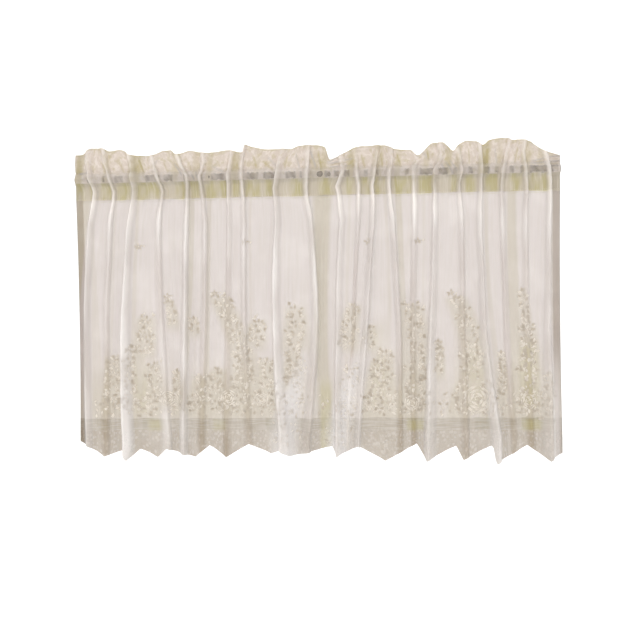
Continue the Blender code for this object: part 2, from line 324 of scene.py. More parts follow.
def round_outline(outline, x):
    """The height of an outline at x on a curve without overshoot through its points."""
    places = np.array([p for p, _ in outline], float) * MM
    heights = np.array([h for _, h in outline], float) * MM
    slopes = np.diff(heights) / np.diff(places)
    tangents = np.zeros(len(places))
    same_way = slopes[:-1] * slopes[1:] > 0
    total = slopes[:-1] + slopes[1:]
    tangents[1:-1][same_way] = (2 * slopes[:-1] * slopes[1:])[same_way] / total[same_way]
    tangents[0], tangents[-1] = slopes[0], slopes[-1]
    k = np.clip(np.searchsorted(places, x, side="right") - 1, 0, len(places) - 2)
    step = places[k + 1] - places[k]
    s = np.clip((x - places[k]) / step, 0, 1)
    return (
        heights[k] * (1 + 2 * s) * (1 - s) ** 2
        + tangents[k] * step * s * (1 - s) ** 2
        + heights[k + 1] * s * s * (3 - 2 * s)
        - tangents[k + 1] * step * s * s * (1 - s)
    )


def pointed_outline(outline, x):
    """The height of an outline at x on straight lines through its points."""
    return np.interp(x, [p * MM for p, _ in outline], [h * MM for _, h in outline])


def up_header(z):
    return np.clip((z - SEAM) / (HEADER_HEIGHT - SEAM), 0, 1)


def sheet_columns():
    """The sheet's columns from left to right: a fold's number or -1, a gap's number or -1, and the share."""
    columns = []
    before = LEFT_EDGE[0]
    for number in range(len(FOLDS) + 1):
        place = FOLDS[number].rod if number < len(FOLDS) else RIGHT_EDGE[0]
        steps = max(4, round((place - before) * MM / COLUMN_STEP) - 3)
        first = 0 if number == 0 else 1
        last = steps + 1 if number == len(FOLDS) else steps
        columns += [(-1, number, k / steps) for k in range(first, last)]
        if number < len(FOLDS):
            columns += [(number, -1, -1 + 2 * k / (FOLD_COLUMNS - 1)) for k in range(FOLD_COLUMNS)]
        before = place
    fold, gap, share = zip(*columns)
    return np.array(fold), np.array(gap), np.array(share)


COLUMN_FOLD, COLUMN_GAP, COLUMN_SHARE = sheet_columns()


def crease_relief(x, z):
    """How far the creases and the fine ripples push the cloth forward at x and z."""
    relief = np.zeros_like(x)
    for crease in CREASES:
        place = table_at(crease.rod, crease.mid, crease.foot, z)
        there = ease(crease.top + 30, crease.top - 10, z / MM)
        there = there * ease(crease.bottom - 20, crease.bottom + 60, z / MM)
        half = crease.half * MM * (1 + 0.5 * ease(0, FOOT, z))
        relief += crease.height * MM * there * bell((x - place) / half)
    draw = np.random.default_rng(7)
    for _ in range(FINE_RIPPLES):
        start = draw.uniform(-450, 452) * MM
        drift = draw.uniform(-9, 9) * MM
        half = draw.uniform(1.6, 4.2) * MM
        height = draw.uniform(-1, 1) * RIPPLE
        bottom = draw.uniform(-420, -90) * MM
        place = start + drift * ease(0, FOOT, z)
        there = ease(bottom - 0.02, bottom + 0.09, z)
        relief += height * there * bell((x - place) / half)
    return relief


def header_fan(x, z):
    """How far the wrinkles of the header and the pocket push the cloth forward."""
    relief = np.zeros_like(x)
    for row in WRINKLES:
        along = np.array((row.end_x - row.start_x, row.end_z - row.start_z)) * MM
        length = math.hypot(*along)
        away_x, away_z = x - row.start_x * MM, z - row.start_z * MM
        share = (away_x * along[0] + away_z * along[1]) / length**2
        aside = (away_x * along[1] - away_z * along[0]) / length
        there = ease(-0.25, 0.15, share) * ease(1.25, 0.85, share)
        relief += row.height * MM * there * bell(aside / (row.half * MM))
    return relief


def gather_shift(z):
    """How far each gather leaves its place near the rod at these heights."""
    heights = SHIFT_HEIGHTS[::-1]
    shifts = [np.interp(z[:, 0], heights, (0, *row[::-1])) for row in GATHER_SHIFTS]
    return np.stack(shifts, axis=1) * MM


def cloth_middle(level):
    """x, y and the fold's rise at each column, for rows at these heights, without the gap between layers."""
    z = level[:, None]
    up = up_header(z)
    place = fold_table("", z) + gather_shift(z)
    depth = fold_table("depth_", z) * mix(1, HEADER_DEPTH, up)
    half = fold_table("half_", z) * mix(1, HEADER_OPENING, up)
    sharp = mix(1.3, 1.0, ease(BAND_FOOT, BAND_FOOT - 40 * MM, z))

    rise = np.cos(COLUMN_SHARE * math.pi / 2)[None, :] ** (2 * sharp)
    lean = fold_column("lean") * np.clip(depth / (10 * MM), 0, 1)
    leaning = 0.6 * lean[:, COLUMN_FOLD] * rise
    fold_x = place[:, COLUMN_FOLD] + half[:, COLUMN_FOLD] * (COLUMN_SHARE + leaning)
    fold_y = -depth[:, COLUMN_FOLD] * rise

    left = table_at(*LEFT_EDGE, z) * np.ones_like(z)
    right = table_at(*RIGHT_EDGE, z) * np.ones_like(z)
    starts = np.hstack([left, place + half])
    ends = np.hstack([place - half, right])
    width = ends - starts
    gap_x = starts[:, COLUMN_GAP] + width[:, COLUMN_GAP] * COLUMN_SHARE
    billow_way = np.where(np.arange(len(FOLDS) + 1) % 2 == 0, 1, -1)
    billow_way[-1] = 0
    swing = SWAY * np.clip(z / FOOT, 0, 1) + HEADER_BILLOW * up * billow_way[None, :]
    swing = swing * np.minimum(1, width / FULL_SWAY_GAP)
    gap_y = swing[:, COLUMN_GAP] * np.sin(math.pi * COLUMN_SHARE) ** 2

    in_fold = COLUMN_FOLD >= 0
    x = np.where(in_fold, fold_x, gap_x)
    y = np.where(in_fold, fold_y, gap_y)
    wander = mix(LOW_WANDER, ROD_WANDER, ease(-90 * MM, -20 * MM, z)) * ease(FOOT, FOOT + 60 * MM, z)
    inside = ease(left, left + 20 * MM, x) * ease(right, right - 20 * MM, x)
    x = x + wander * soft_noise(x, z, 45 * MM, 32 * MM, 3) * inside
    return x, y, np.where(in_fold, rise, 0)


def sheet_rows():
    """The sheet's rows, 2 to 5 mm apart, from the hem up the front, over the top and down the back.

    Each is its height, its side (-1 front, 1 back), its share of the way from FOOT to the hem, its share of
    the header's height and its part of the turn over the top.
    """
    rows = [(FOOT, -1, k / 9, 0, 0) for k in range(9, 0, -1)]
    rows += [(z, -1, 0, 0, 0) for z in np.linspace(FOOT, BAND_FOOT, 88)]
    for start, end, steps in ((BAND_FOOT, -SEAM, 8), (-SEAM, SEAM, 12)):
        rows += [(z, -1, 0, 0, 0) for z in np.linspace(start, end, steps + 1)[1:]]
    rows += [(mix(SEAM, HEADER_HEIGHT, s), -1, 0, s, 0) for s in np.linspace(0, 1, 14)[1:]]
    turn = np.linspace(-math.pi / 2, math.pi / 2, 7)[1:-1]
    rows += [(HEADER_HEIGHT, math.sin(angle), 0, 1, math.cos(angle)) for angle in turn]
    rows += [(mix(SEAM, HEADER_HEIGHT, s), 1, 0, s, 0) for s in np.linspace(1, 0, 9)]
    for start, end, steps in ((SEAM, -SEAM, 8), (-SEAM, BAND_FOOT, 6)):
        rows += [(z, 1, 0, 0, 0) for z in np.linspace(start, end, steps + 1)[1:]]
    return tuple(np.array(part, float) for part in zip(*rows))


def lens(z):
    """How far the pocket is open at a height: 1 at the rod's axis, 0 at the stitching and beyond."""
    return np.cos(np.clip(z / SEAM, -1, 1) * math.pi / 2) ** 0.8


def sheet_points():
    """Points of the whole sheet as arrays of rows by columns, with the fold's rise at each."""
    level, side, hem, header, turn = sheet_rows()
    x, y, rise = cloth_middle(level)
    side, hem, header, turn = (part[:, None] for part in (side, hem, header, turn))
    z = np.repeat(level[:, None], x.shape[1], axis=1)
    z = np.where(hem > 0, FOOT + hem * (pointed_outline(POINTED_HEM, x) - FOOT), z)
    top = round_outline(HEADER_TOP, x) - TURN_RADIUS
    z = np.where(header > 0, mix(SEAM, top, header) + turn * TURN_RADIUS, z)

    y = y - crease_relief(x, z) - header_fan(x, z)
    open_pocket = lens(level)[:, None]
    back_way = mix(1, -BACK_GATHER, open_pocket)
    y = y * np.where(side > 0, back_way, 1)
    reach = LAYER_STEP / 2 + (POCKET_REACH - LAYER_STEP / 2) * open_pocket
    puff = HEADER_PUFF * np.sin(math.pi * np.clip(header, 0, 1)) ** 0.7 * (1 - rise)
    y = y + side * (reach + puff)
    return x, y, z, rise


def spray_ground(x, z):
    """How dense the lace is at each point: 1 along the sprays and under the roses, 0 away from them."""
    ground = np.zeros_like(x)
    for row in SPRAYS:
        share = np.clip((z / MM - row.foot_z) / (row.tip_z - row.foot_z), 0, 1)
        stem = mix(row.foot_x, row.tip_x, share) + row.bow * np.sin(math.pi * share)
        reach = row.reach * mix(1.45, 0.95, share)
        along = ease(row.foot_z - 24, row.foot_z + 8, z / MM) * ease(row.tip_z + 8, row.tip_z - 8, z / MM)
        ground = np.maximum(ground, along * ease(1.3, 0.55, np.abs(x / MM - stem) / reach))
    for centre_x, centre_z, radius in ROSES:
        away = np.hypot(x / MM - centre_x, z / MM - centre_z) / radius
        ground = np.maximum(ground, ease(1.25, 0.8, away))
    return ground


def white_and_highlight_of(x, z, rise):
    """How white the cloth is at each point: the folds' crests, denser cloth with a painted highlight, a
    painted highlight along each ridge of the header's wrinkles, and low pale strips.
    """
    # The crests are white partly from denser doubled cloth and partly from a painted highlight
    at_mid = fold_column("white_mid")[COLUMN_FOLD]
    at_foot = fold_column("white_foot")[COLUMN_FOLD]
    under_band = ease(BAND_FOOT, BAND_FOOT - 160 * MM, z)
    low = ease(MID + 60 * MM, MID - 100 * MM, z)
    strength = mix(mix(1.0, at_mid, under_band), at_foot, low)
    strength = strength * mix(1, 0.9, ease(SEAM - 8 * MM, SEAM + 4 * MM, z))
    line = mix(mix(mix(rise**0.9, rise**2.2, up_header(z)), rise**1.1, under_band), rise**0.5, low)
    white = np.where(COLUMN_FOLD >= 0, strength * line, 0)
    broken = ease(BAND_FOOT, BAND_TOP, z)
    white = white * (mix(0.8, 0.7, broken) + 0.2 * soft_noise(x, z, 60 * MM, 40 * MM, 5))
    white = white * (1 - broken * np.clip(0.35 * soft_noise(x, z, 30 * MM, 9 * MM, 17), 0, 0.6))
    for mid, half_mid, foot, half_foot in PALE_STRIPS:
        share = ease(MID, FOOT, z)
        away = np.abs(x / MM - mix(mid, foot, share)) / mix(half_mid, half_foot, share)
        white = np.maximum(white, 0.8 * ease(1.6, 0.2, away) * ease(MID + 10 * MM, MID - 130 * MM, z))
    # A painted highlight along each ridge of the header's wrinkles
    ridge_highlight = ease(0.4 * MM, 1.9 * MM, header_fan(x, z))
    return np.clip(np.maximum(white, 0.8 * ridge_highlight), 0, 1)


def beige_and_shade_of(x, z, white):
    """How beige the cloth is: strips of painted shade beside the folds, double cloth at the side hems, lace
    grounds and a wash towards the hem.
    """
    beige = LACE_GROUND * spray_ground(x, z) * (1 - 0.7 * white)
    # Painted shade beside the folds, and at the side hems cloth that hangs double
    for strip in BEIGE_AND_SHADE_STRIPS:
        place = table_at(strip.rod, strip.mid, strip.foot, z)
        half = table_at(strip.half_rod, strip.half_mid, strip.half_foot, z)
        beige = np.maximum(beige, strip.strength * ease(1.35, 0.65, np.abs(x - place) / half))
    return np.clip(beige + LOW_WASH * ease(-320 * MM, -440 * MM, z) * (1 - white), 0, 1)


def olive_and_shade_of(x, z):
    """How yellow the cloth is: painted olive shade beside the header's gathers, along its top edge and in the
    trough of each wrinkle, and patches on the band and low down.
    """
    header = np.zeros_like(x)
    lean = (z - SEAM) * 0.12
    for place, half, strength in OLIVE_SHADE_STRIPS:
        header = np.maximum(header, strength * ease(1.5, 0.5, np.abs(x - place * MM - lean) / (half * MM)))
    header = header * mix(0.5, 1, ease(HEADER_HEIGHT, SEAM, z))
    # Painted shade along the header's top edge
    edge = ease(round_outline(HEADER_TOP, x) - 4 * MM, round_outline(HEADER_TOP, x), z)
    # Painted shade in the trough of each wrinkle of the header
    trough_shade = ease(-0.4 * MM, -1.9 * MM, header_fan(x, z))
    header = np.clip(header + 0.5 * edge + 0.7 * trough_shade, 0, 1)
    band = within(BAND_OLIVE, x, 4) * np.clip(0.75 + 0.4 * soft_noise(x, z, 9 * MM, 25 * MM, 13), 0, 1)
    low = np.zeros_like(x)
    for place, half, top, bottom, strength in YELLOW_PATCHES:
        soft = min(3 + 0.3 * (top - bottom), 40)
        there = ease(top, top - soft, z / MM) * ease(bottom, bottom + 4, z / MM)
        low = np.maximum(low, strength * there * ease(1.4, 0.6, np.abs(x / MM - place) / half))
    return np.where(z > BAND_TOP, header, np.where(z > BAND_FOOT - 2 * MM, band, low))


def within(stretches, x, soft):
    """1 where x is in one of the stretches, in millimetres, and 0 elsewhere."""
    inside = np.zeros_like(x)
    for start, end in stretches:
        edge = ease(start - soft, start + soft, x / MM) * ease(end + soft, end - soft, x / MM)
        inside = np.maximum(inside, edge)
    return inside


SIDE_HEM_INSETS = np.linspace(SIDE_HEM_START, SIDE_HEM, SIDE_HEM_COLUMNS)


def with_side_hems(grid, by_place):
    """An array of rows by columns with those of the side hems added, with the values of the cloth there."""
    rows = []
    for values, x in zip(grid, by_place):
        left = np.interp(x[0] + SIDE_HEM_INSETS, x, values)[::-1]
        right = np.interp(x[-1] - SIDE_HEM_INSETS, x, values)
        rows.append(np.concatenate([left, values, right]))
    return np.array(rows)


def in_scene(name, data):
    """A new object with this data in the scene."""
    made = bpy.data.objects.new(name, data)
    bpy.context.scene.collection.objects.link(made)
    return made


def new_mesh(name, points, faces, material):
    """A smooth mesh object in the scene from points and faces."""
    mesh = bpy.data.meshes.new(name)
    mesh.from_pydata([tuple(p) for p in points], [], faces)
    mesh.shade_smooth()
    mesh.materials.append(material)
    return in_scene(name, mesh)


def point_colours(mesh, name, red, green, blue):
    """A colour attribute of three values at each point."""
    layer = mesh.color_attributes.new(name, "FLOAT_COLOR", "POINT")
    values = np.ones((len(mesh.vertices), 4))
    for channel, part in enumerate((red, green, blue)):
        values[:, channel] = part.ravel()
    layer.data.foreach_set("color", values.ravel())


def valance_sheet(cloth, material):
    """The whole cloth as one thin sheet."""
    place, y, z, rise = cloth
    white = white_and_highlight_of(place, z, rise)
    beige = beige_and_shade_of(place, z, white)
    olive = olive_and_shade_of(place, z)
    # Painted light at the right end, where the cloth turns away: it takes the crests' white and covers more
    painted_light_right_end = ease(436 * MM, 446 * MM, place) * ease(-180 * MM, MID, z)
    dense = np.clip(rise * 1.1 + 0.8 * painted_light_right_end, 0, 1)
    window = within(ROD_SHOWS, place, 1.5)
    dark = within(WOVEN_DARK, place, 1.5)
    fields = [with_side_hems(part, place) for part in (y, z, white, beige, olive, dense, window, dark)]
    y, z, white, beige, olive, dense, window, dark = fields
    x = np.hstack([place[:, :1] + SIDE_HEM_INSETS[::-1], place, place[:, -1:] - SIDE_HEM_INSETS])
    y[:, :SIDE_HEM_COLUMNS] += SIDE_HEM_BEHIND
    y[:, -SIDE_HEM_COLUMNS:] += SIDE_HEM_BEHIND

    rows, wide = x.shape
    points = np.stack([x, y, z], axis=-1).reshape(-1, 3)
    r, c = np.mgrid[0 : rows - 1, 0 : wide - 1]
    a = (r * wide + c).ravel()
    faces = np.stack([a, a + 1, a + wide + 1, a + wide], axis=-1).tolist()
    sheet = new_mesh("valance_sheet", points, faces, material)
    point_colours(sheet.data, "tone", white, beige, olive)
    point_colours(sheet.data, "cover", dense, window, dark)

    # The flat cloth: even threads across it, and the real length along it
    step = np.hypot(np.diff(x, axis=1), np.diff(y, axis=1)).mean(axis=0)
    across = np.concatenate([[0], np.cumsum(step)])
    across *= FLAT_WIDTH / across[-1]
    along = np.concatenate([[0], np.cumsum(np.hypot(np.diff(z, axis=0), np.diff(y, axis=0)).mean(axis=1))])
    flat = np.stack(np.broadcast_arrays(across[None, :], along[:, None]), axis=-1).reshape(-1, 2)
    layer = sheet.data.uv_layers.new(name="flat_cloth")
    corners = np.zeros(len(sheet.data.loops), np.int32)
    sheet.data.loops.foreach_get("vertex_index", corners)
    layer.data.foreach_set("uv", flat[corners].ravel())
    return sheet


class ClothFront:
    """The front layer as fields over x and z, to put small pieces on it."""

    def __init__(self, cloth):
        x, y, z, rise = cloth
        front = int(np.argmax(sheet_rows()[1] > -1))
        self.x, self.y = x[:front], y[:front]
        # The cloth's white, partly a painted highlight on the crests, for the motifs on it
        self.white = white_and_highlight_of(x, z, rise)[:front]
        self.level = z[:front].mean(axis=1)

    def at(self, field, x, z):
        """Values of a field of the front layer at x and z."""
        x, z = np.atleast_1d(x), np.atleast_1d(z)
        row = np.clip(np.searchsorted(self.level, z) - 1, 0, len(self.level) - 2)
        result = np.empty(len(x))
        for k in range(len(x)):
            r = row[k]
            low = np.interp(x[k], self.x[r], field[r])
            high = np.interp(x[k], self.x[r + 1], field[r + 1])
            share = np.clip((z[k] - self.level[r]) / (self.level[r + 1] - self.level[r]), 0, 1)
            result[k] = mix(low, high, share)
        return result

    def depth(self, x, z):
        """y of the front layer at x and z."""
        return self.at(self.y, x, z)


# Half-size points round a pointed leaf that lies along +Y, its stem at the bottom
LEAF_SIDE = ((0.0, -1.0), (0.34, -0.55), (0.5, -0.05), (0.38, 0.45), (0.0, 1.0))
LEAF = LEAF_SIDE + tuple((-x, y) for x, y in LEAF_SIDE[-2:0:-1])


def around(centre, radius, angle):
    return centre[0] + radius * math.cos(angle), centre[1] + radius * math.sin(angle)


def along_way(x, z, angle, length):
    """The point at a length from x, z; the angle is from straight up to the right."""
    return x + length * math.sin(angle), z + length * math.cos(angle)


class Motifs:
    """Gathers slightly domed pieces, each round a centre on the cloth, with its paleness and the cloth's."""

    def __init__(self, front):
        self.front = front
        self.points = []
        self.faces = []
        self.tones = []

    def dome(self, centre, outline, pale):
        """One piece: its outline on the cloth and its raised middle, narrower where the cloth turns away."""
        first = len(self.points)
        count = len(outline)
        beside = self.front.depth([centre[0] - MM, centre[0] + MM], [centre[1], centre[1]])
        narrow = 1 / math.hypot(1, (beside[1] - beside[0]) / (2 * MM))
        self.points += [(mix(centre[0], x, narrow), z, 0.0) for x, z in outline]
        self.points.append((centre[0], centre[1], DOME_RISE))
        white = self.front.at(self.front.white, centre[0], centre[1])[0]
        self.tones += [(pale, white)] * (count + 1)
        self.faces += [(first + k, first + (k + 1) % count, first + count) for k in range(count)]

    def leaf(self, x, z, angle, length, pale):
        """A leaf with its middle at x, z; the angle is from straight up to the right."""
        along, across = length / 2, length * 0.56
        turn = np.array([[math.cos(angle), math.sin(angle)], [-math.sin(angle), math.cos(angle)]])
        outline = [tuple(np.array((a * across, b * along)) @ turn.T + (x, z)) for a, b in LEAF]
        self.dome((x, z), outline, pale)

    def petal(self, centre, radius, start, end, thick):
        """A pale crescent round a centre, from one angle to another."""
        steps = 5
        angles = np.linspace(start, end, steps)
        outer = [around(centre, radius, angle) for angle in angles]
        inner = []
        for k, angle in enumerate(angles[::-1]):
            near = radius - thick * math.sin(math.pi * k / (steps - 1)) - 0.2 * MM
            inner.append(around(centre, near, angle))
        self.dome(around(centre, radius - thick / 2, (start + end) / 2), outer + inner, 1.0)

    def mesh(self, material):
        """All pieces as one mesh, a little in front of the cloth."""
        flat = np.array(self.points)
        y = self.front.depth(flat[:, 0], flat[:, 1]) - MOTIF_LIFT - flat[:, 2]
        made = new_mesh("lace_motifs", np.stack([flat[:, 0], y, flat[:, 1]], axis=-1), self.faces, material)
        pale, white = np.array(self.tones).T
        point_colours(made.data, "pale", pale, white, pale)
        return made


def leaf_tone(draw):
    """Half of the leaves are pale and the others tan."""
    return draw.uniform(0.6, 1) if draw.random() < 0.5 else draw.uniform(0, 0.35)


def side_branch(motifs, x, z, angle, length, draw):
    """Pairs of leaves along a side branch, and one at its end."""
    pairs = max(1, round(length / LEAF_STEP))
    for k in range(pairs):
        for way in (-1, 1):
            away = length * (k + draw.uniform(0.25, 0.75)) / pairs
            turn = angle + way * draw.uniform(0.35, 1.25)
            out = LEAF_LENGTH * draw.uniform(0.35, 0.75)
            size = LEAF_LENGTH * draw.uniform(0.6, 1.1)
            if draw.random() < LEAF_SHARE:
                spot = along_way(*along_way(x, z, angle, away), turn, out)
                motifs.leaf(*spot, turn, size, leaf_tone(draw))
    motifs.leaf(*along_way(x, z, angle, length), angle, LEAF_LENGTH, leaf_tone(draw))


def spray(motifs, row, draw):
    """A bowed stem with side branches that get shorter towards its tip."""
    foot = np.array((row.foot_x, row.foot_z)) * MM
    tip = np.array((row.tip_x, row.tip_z)) * MM
    heading = math.atan2(tip[0] - foot[0], tip[1] - foot[1])
    branches = max(3, round((tip[1] - foot[1]) / BRANCH_STEP))
    for k in range(branches):
        share = (k + 0.3) / branches
        x, z = mix(foot, tip, share)
        x += row.bow * MM * math.sin(math.pi * share)
        length = row.reach * MM * mix(1.15, 0.7, share) * draw.uniform(0.5, 1.15)
        way = 1 if k % 2 else -1
        side_branch(motifs, x, z, heading + way * draw.uniform(0.45, 1.3), length, draw)
        side_branch(motifs, x, z, heading - way * draw.uniform(0.6, 1.5), length * 0.7, draw)
    motifs.leaf(tip[0], tip[1], heading, LEAF_LENGTH, 0.1)


def rose(motifs, x, z, radius, draw):
    """Rings of petals round a curled heart."""
    for ring, petals in ((1.0, 6), (0.72, 5), (0.46, 4)):
        start = draw.uniform(0, math.tau)
        for k in range(petals):
            begin = start + math.tau * k / petals
            motifs.petal((x, z), radius * ring, begin, begin + math.tau / petals * 0.95, radius * 0.2)
    for k in range(4):
        motifs.petal((x, z), radius * (0.25 - 0.05 * k), k * 1.3, k * 1.3 + 1.5, radius * 0.08)


def sprig(motifs, x, z, draw):
    """A tiny flower of five petals, and one leaf beside it."""
    for k in range(5):
        angle = math.tau * k / 5 + draw.uniform(-0.3, 0.3)
        reach = draw.uniform(3.4, 4.8) * MM
        motifs.leaf(*along_way(x, z, angle, reach), angle, draw.uniform(6, 8) * MM, 0.2)
    motifs.leaf(x, z, 0.5, 4 * MM, 0.8)
    motifs.leaf(x + 10 * MM, z + draw.uniform(-3, 4) * MM, draw.uniform(0, 1.5), 5.5 * MM, 0.5)


def lace_motifs(front, material):
    """All leaves, roses and sprigs as one raised mesh on the front of the cloth."""
    motifs = Motifs(front)
    draw = np.random.default_rng(23)
    for row in SPRAYS:
        spray(motifs, row, draw)
    for x, z, radius in ROSES:
        rose(motifs, x * MM, z * MM, radius * MM, draw)
    for x, z in SPRIGS:
        sprig(motifs, x * MM, z * MM, draw)
    for _ in range(LOOSE_LEAVES):
        x = draw.uniform(-425, 435) * MM
        z = draw.uniform(-454, -412) * MM
        motifs.leaf(x, z, draw.uniform(-1.4, 1.4), draw.uniform(6, 9) * MM, leaf_tone(draw))
    for mid, half_mid, foot, half_foot in PALE_STRIPS[:2]:
        for _ in range(STRIP_LEAVES):
            share = draw.uniform(0.25, 1.1)
            x = (mix(mid, foot, share) + draw.uniform(-1.3, 1.3) * mix(half_mid, half_foot, share)) * MM
            z = mix(MID, FOOT, share)
            motifs.leaf(x, z, draw.uniform(-1.4, 1.4), draw.uniform(5, 9) * MM, leaf_tone(draw))
    return motifs.mesh(material)


def stitching(front, material):
    """Short stitches along the pocket: one row above the rod and one at the foot of the folded cloth."""
    length, pitch, half, rise = 2.4 * MM, 3.6 * MM, 0.35 * MM, 0.3 * MM
    points, faces = [], []
    for height in (SEAM, BAND_FOOT + 2.5 * MM):
        places = np.arange(-452 * MM, 452 * MM, pitch)
        starts = front.depth(places, np.full(len(places), height))
        ends = front.depth(places + length, np.full(len(places), height))
        for place, start, end in zip(places, starts, ends):
            first = len(points)
            points += [(place, start, height), (place + length, end, height)]
            middle = (place + length / 2, (start + end) / 2)
            for dz, dy in ((half, 0), (0, -rise), (-half, 0), (0, rise)):
                points.append((middle[0], middle[1] + dy, height + dz))
            for k in range(4):
                a, b = first + 2 + k, first + 2 + (k + 1) % 4
                faces += [(first, b, a), (first + 1, a, b)]
    return new_mesh("stitching", points, faces, material)


def linear(red, green, blue):
    """A colour as it shows on a screen, 0 to 255, as Blender's linear colour."""
    parts = [c / 255 for c in (red, green, blue)]
    return tuple(c / 12.92 if c <= 0.04045 else ((c + 0.055) / 1.055) ** 2.4 for c in parts) + (1.0,)


class Shader:
    """Short calls that add nodes to a material."""

    def __init__(self, name):
        self.material = bpy.data.materials.new(name)
        self.material.use_nodes = True
        self.tree = self.material.node_tree
        self.tree.nodes.clear()

    def add(self, kind, settings=None, **inputs):
        """A node of a kind; its inputs are given by name, or as i and their number."""
        node = self.tree.nodes.new("ShaderNode" + kind)
        for key, value in (settings or {}).items():
            setattr(node, key, value)
        for key, value in inputs.items():
            numbered = key[0] == "i" and key[1:].isdigit()
            self.put(node.inputs[int(key[1:]) if numbered else key.replace("_", " ")], value)
        return node

    def put(self, socket, value):
        if isinstance(value, bpy.types.NodeSocket):
            self.tree.links.new(value, socket)
        else:
            socket.default_value = value

    def math(self, operation, a, b=0.0, clamp=False):
        node = self.add("Math", {"operation": operation, "use_clamp": clamp}, i0=a, i1=b)
        return node.outputs[0]

    def times(self, a, b):
        return self.math("MULTIPLY", a, b)

    def scaled(self, value, factor, offset):
        """The value times a factor, plus an offset."""
        settings = {"operation": "MULTIPLY_ADD"}
        return self.add("Math", settings, i0=value, i1=factor, i2=offset).outputs[0]

    def spot(self):
        """Object coordinates."""
        return self.add("TexCoord").outputs["Object"]

    def channels(self, name):
        """The three values of a colour attribute."""
        tones = self.add("VertexColor", {"layer_name": name}).outputs["Color"]
        return self.add("SeparateColor", Color=tones).outputs

    def fade(self, value, start, end):
        """0 at start and 1 at end, with an even S between them."""
        settings = {"interpolation_type": "SMOOTHSTEP", "clamp": True}
        low, high = min(start, end), max(start, end)
        ends = {"To_Min": float(start > end), "To_Max": float(start < end)}
        return self.add("MapRange", settings, Value=value, From_Min=low, From_Max=high, **ends).outputs[0]

    def mixed(self, share, a, b, strength=None):
        """From colour a to colour b by a share, which a strength can lower."""
        node = self.add("Mix", {"data_type": "RGBA"})
        self.put(node.inputs["Factor"], share if strength is None else self.times(share, strength))
        self.put(node.inputs[6], a)
        self.put(node.inputs[7], b)
        return node.outputs[2]

    def layered(self, colour, *layers):
        """A colour with others over it: each has its share, its colour and its strength."""
        for share, over, strength in layers:
            colour = self.mixed(share, colour, over, strength)
        return colour

    def noise(self, vector, scale, detail=2.0, roughness=0.5):
        node = self.add("TexNoise", Vector=vector, Scale=scale, Detail=detail, Roughness=roughness)
        return node.outputs[0]

    def mapped(self, vector, **inputs):
        return self.add("Mapping", {"vector_type": "POINT"}, Vector=vector, **inputs).outputs[0]

    def stretched(self, vector, along, across):
        return self.mapped(vector, Scale=(across, along, 1))

    def bump(self, strength, distance, height):
        return self.add("Bump", Strength=strength, Distance=distance, Height=height).outputs[0]

    def principled(self, colour, roughness, **inputs):
        """The main shader, with its other inputs by name."""
        node = self.add("BsdfPrincipled", Base_Color=colour, Roughness=roughness, **inputs)
        return node.outputs[0]

    def lit_through(self, body, colour, normal, share):
        """A share of the light comes through from behind."""
        through = self.add("BsdfTranslucent", Color=colour, Normal=normal).outputs[0]
        return self.add("MixShader", i0=share, i1=body, i2=through).outputs[0]

    def finished(self, surface):
        self.add("OutputMaterial", Surface=surface)
        return self.material


BODY = linear(200, 190, 185)
BEIGE = linear(184, 173, 155)
FOLD_WHITE = linear(234, 229, 225)
WHITE = linear(246, 240, 234)
PALE = linear(196, 190, 186)
BAND_YELLOW = linear(196, 187, 146)
BAND_GREY = linear(209, 200, 184)
HEADER = linear(222, 211, 200)
HEADER_LIGHT = linear(239, 230, 223)
OLIVE = linear(190, 178, 130)
LACE = linear(153, 138, 118)
WOVEN = linear(152, 139, 119)
WOVEN_SHADE = linear(134, 121, 93)
STRAW = linear(170, 159, 112)
LEAF_TAN = linear(190, 179, 164)
LEAF_PALE = linear(233, 225, 214)
LEAF_ON_WHITE = linear(224, 218, 213)
THREAD = linear(226, 218, 204)
ROD_DARK = linear(120, 112, 102)
ROD_LIGHT = linear(142, 133, 122)

# Shares of the light that come through from behind
CLOTH_LIGHT_THROUGH = 0.35
LEAF_LIGHT_THROUGH = 0.2


def band_colour(s, height, flat, olive):
    """Where the folded cloth makes the band under the pocket, and its uneven colour."""
    uneven = s.scaled(s.noise(s.stretched(flat, 1.0, 25.0), 1.0), 0.009, -0.0045)
    foot = s.fade(s.math("ADD", height, uneven), BAND_FOOT - 0.0011, BAND_FOOT + 0.0011)
    zone = s.times(foot, s.fade(height, BAND_TOP + 0.001, BAND_TOP - 0.001))
    streaks = s.noise(s.stretched(flat, 15.0, 300.0), 1.0, 3.0, 0.6)
    light, dark = s.fade(streaks, 0.5, 0.75), s.fade(streaks, 0.5, 0.25)
    return zone, s.layered(s.mixed(olive, BAND_GREY, BAND_YELLOW), (light, WHITE, 0.4), (dark, OLIVE, 0.3))


def header_colour(s, height, flat, olive):
    """Where the header and the pocket are, and their mottled colour, with painted light over the rod that
    lifts the pocket's shade, and painted olive shade from the tone attribute.
    """
    blots = s.fade(s.noise(flat, 110.0, 2.5, 0.6), 0.45, 0.6)
    spots = s.fade(s.noise(flat, 85.0, 2.0), 0.52, 0.66)
    # Painted light over the rod, lifting the shade of the pocket round it
    painted_light_over_rod = s.times(s.fade(height, -0.0095, -0.006), s.fade(height, 0.016, 0.006))
    colour = s.layered(
        HEADER,
        (blots, HEADER_LIGHT, 0.75),
        (spots, OLIVE, 0.4),
        # Painted olive shade beside the gathers, along the top edge and in the trough of each wrinkle
        (olive, OLIVE, 0.85),
        (painted_light_over_rod, HEADER_LIGHT, 0.4),
    )
    return s.fade(height, BAND_TOP - 0.001, BAND_TOP + 0.001), colour


